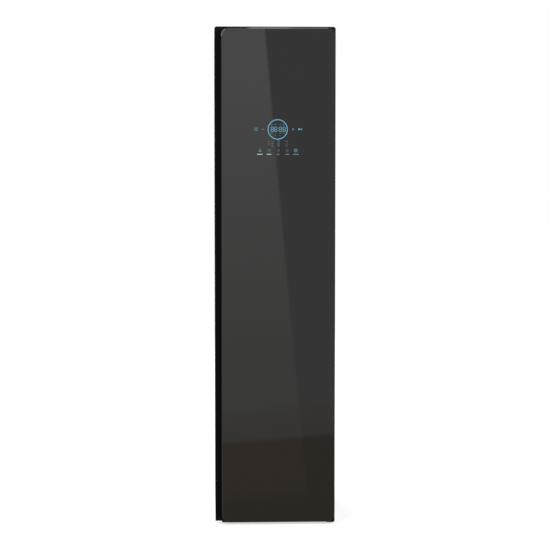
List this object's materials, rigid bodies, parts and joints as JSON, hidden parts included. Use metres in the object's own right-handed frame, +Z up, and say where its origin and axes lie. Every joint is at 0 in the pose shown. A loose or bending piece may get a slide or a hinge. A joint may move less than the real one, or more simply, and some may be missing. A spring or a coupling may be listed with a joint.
{
  "type": "clothes care steam cabinet",
  "caption": "Tall freestanding cabinet with one glass door, a steam chamber with a shaking hanger bar and lift-out water tanks.",
  "frame": {"origin": "on the floor, under the centre of the footprint", "axes": "+Z up, +X to the right as seen from the front, +Y to the back; the door faces -Y"},
  "size_m": [0.445, 0.585, 1.85],
  "materials": {
    "casing_paint": "matte",
    "cap_plastic": "matte",
    "back_steel": "satin",
    "galvanised_steel": "satin",
    "rail_paint": "satin",
    "kick_plastic": "satin",
    "liner_plastic": "satin",
    "well_plastic": "matte",
    "foam": "matte",
    "lamp_diffuser": "satin",
    "duct_plastic": "matte",
    "fin_aluminium": "satin",
    "motor_steel": "satin",
    "impeller_plastic": "satin",
    "compressor_paint": "gloss",
    "copper": "satin",
    "cast_aluminium": "matte",
    "nozzle_plastic": "satin",
    "pump_plastic": "satin",
    "silicone_hose": "satin",
    "control_plastic": "matte",
    "wire_sleeve": "matte",
    "inlet_plastic": "satin",
    "foot_plastic": "matte",
    "screw_steel": "satin",
    "hinge_steel": "satin",
    "bush_plastic": "satin",
    "door_glass": "gloss",
    "door_aluminium": "satin",
    "door_panel_plastic": "satin",
    "gasket_rubber": "matte",
    "display": "matte",
    "ground_steel": "polished",
    "carriage_plastic": "satin",
    "bar_steel": "satin",
    "gear_plastic": "satin",
    "hanger_plastic": "satin",
    "shelf_plastic": "satin",
    "filter_plastic": "satin",
    "tank_plastic": "satin",
    "fresh_lid_plastic": "satin",
    "drain_lid_plastic": "satin",
    "handle_plastic": "satin"
  },
  "bodies": {
    "cabinet": {"side_panel_left": "casing_paint", "side_panel_right": "casing_paint", "top_panel": "cap_plastic", "back_panel": "back_steel", "base_tray": "galvanised_steel", "front_rails": "rail_paint", "lower_front_panel": "kick_plastic", "liner_left": "liner_plastic", "liner_right": "liner_plastic", "liner_back": "liner_plastic", "chamber_ceiling": "liner_plastic", "chamber_floor": "liner_plastic", "tank_well": "well_plastic", "insulation_boards": "foam", "chamber_lamp": "lamp_diffuser", "air_ducts": "duct_plastic", "evaporator": "fin_aluminium", "condenser": "fin_aluminium", "fan_housing": "duct_plastic", "fan_motor": "motor_steel", "compressor": "compressor_paint", "refrigerant_pipes": "copper", "steam_generator": "cast_aluminium", "steam_nozzle": "nozzle_plastic", "water_pump": "pump_plastic", "hoses": "silicone_hose", "control_box": "control_plastic", "wiring_harness": "wire_sleeve", "power_inlet": "inlet_plastic", "rear_feet": "foot_plastic", "case_screws": "screw_steel", "hinge_brackets": "hinge_steel", "drive_plate": "galvanised_steel", "guide_rods": "ground_steel", "drive_motor": "motor_steel"},
    "door": {"door_glass": "door_glass", "door_profiles": "door_aluminium", "door_end_caps": "cap_plastic", "door_inner_panel": "door_panel_plastic", "door_foam": "foam", "door_gasket": "gasket_rubber", "display_module": "display", "hinge_bushes": "bush_plastic"},
    "moving_bar": {"hanger_carriage": "carriage_plastic", "hanger_bar": "bar_steel"},
    "drive_pinion": {"drive_pinion": "gear_plastic"},
    "hanger_left": {"hanger_left": "hanger_plastic"},
    "hanger_middle": {"hanger_middle": "hanger_plastic"},
    "hanger_right": {"hanger_right": "hanger_plastic"},
    "fan_impeller": {"fan_impeller": "impeller_plastic"},
    "shelf": {"shelf": "shelf_plastic"},
    "lint_filter": {"lint_filter": "filter_plastic"},
    "foot_left": {"foot_left": "foot_plastic"},
    "foot_right": {"foot_right": "foot_plastic"},
    "fresh_tank": {"fresh_tank": "tank_plastic"},
    "fresh_tank_lid": {"fresh_tank_lid": "fresh_lid_plastic"},
    "fresh_tank_handle": {"fresh_tank_handle": "handle_plastic"},
    "drain_tank": {"drain_tank": "tank_plastic"},
    "drain_tank_lid": {"drain_tank_lid": "drain_lid_plastic"},
    "drain_tank_handle": {"drain_tank_handle": "handle_plastic"}
  },
  "joints": [
    {"name": "door_hinge", "type": "hinge", "parent": "cabinet", "child": "door", "pos_m": [0.205, -0.262, 0.925], "axis": [0, 0, 1], "range_deg": [0, 110]},
    {"name": "bar_slide", "type": "slide", "parent": "cabinet", "child": "moving_bar", "axis": [1, 0, 0], "range_m": [-0.018, 0.018]},
    {"name": "pinion_spin", "type": "hinge", "parent": "cabinet", "child": "drive_pinion", "pos_m": [0, 0.05792, 1.746], "axis": [0, 0, 1], "range_deg": [-70, 70]},
    {"name": "fan_spin", "type": "hinge", "parent": "cabinet", "child": "fan_impeller", "pos_m": [0.073, 0.026, 0.312], "axis": [1, 0, 0], "continuous": true},
    {"name": "shelf_lift", "type": "slide", "parent": "cabinet", "child": "shelf", "axis": [0, 0, 1], "range_m": [0, 0.25]},
    {"name": "filter_lift", "type": "slide", "parent": "cabinet", "child": "lint_filter", "axis": [0, 0, 1], "range_m": [0, 0.2]},
    {"name": "hanger_left_swing", "type": "hinge", "parent": "moving_bar", "child": "hanger_left", "pos_m": [-0.115, -0.01, 1.657], "axis": [1, 0, 0], "range_deg": [-12, 12]},
    {"name": "hanger_middle_swing", "type": "hinge", "parent": "moving_bar", "child": "hanger_middle", "pos_m": [0, -0.01, 1.657], "axis": [1, 0, 0], "range_deg": [-12, 12]},
    {"name": "hanger_right_swing", "type": "hinge", "parent": "moving_bar", "child": "hanger_right", "pos_m": [0.115, -0.01, 1.657], "axis": [1, 0, 0], "range_deg": [-12, 12]},
    {"name": "fresh_tank_lift", "type": "slide", "parent": "cabinet", "child": "fresh_tank", "axis": [0, 0, 1], "range_m": [0, 0.3]},
    {"name": "fresh_lid_hinge", "type": "hinge", "parent": "fresh_tank", "child": "fresh_tank_lid", "pos_m": [-0.095, -0.0935, 0.3915], "axis": [-1, 0, 0], "range_deg": [0, 100]},
    {"name": "fresh_handle_hinge", "type": "hinge", "parent": "fresh_tank", "child": "fresh_tank_handle", "pos_m": [-0.095, -0.139, 0.395], "axis": [-1, 0, 0], "range_deg": [0, 95]},
    {"name": "drain_tank_lift", "type": "slide", "parent": "cabinet", "child": "drain_tank", "axis": [0, 0, 1], "range_m": [0, 0.3]},
    {"name": "drain_lid_hinge", "type": "hinge", "parent": "drain_tank", "child": "drain_tank_lid", "pos_m": [0.095, -0.0935, 0.3915], "axis": [-1, 0, 0], "range_deg": [0, 100]},
    {"name": "drain_handle_hinge", "type": "hinge", "parent": "drain_tank", "child": "drain_tank_handle", "pos_m": [0.095, -0.139, 0.395], "axis": [-1, 0, 0], "range_deg": [0, 95]},
    {"name": "foot_left_level", "type": "slide", "parent": "cabinet", "child": "foot_left", "axis": [0, 0, -1], "range_m": [0, 0.01]},
    {"name": "foot_right_level", "type": "slide", "parent": "cabinet", "child": "foot_right", "axis": [0, 0, -1], "range_m": [0, 0.01]}
  ],
  "couplings": [
    {"joint": "pinion_spin", "follows": "bar_slide", "rad_per_m": 66.667}
  ]
}
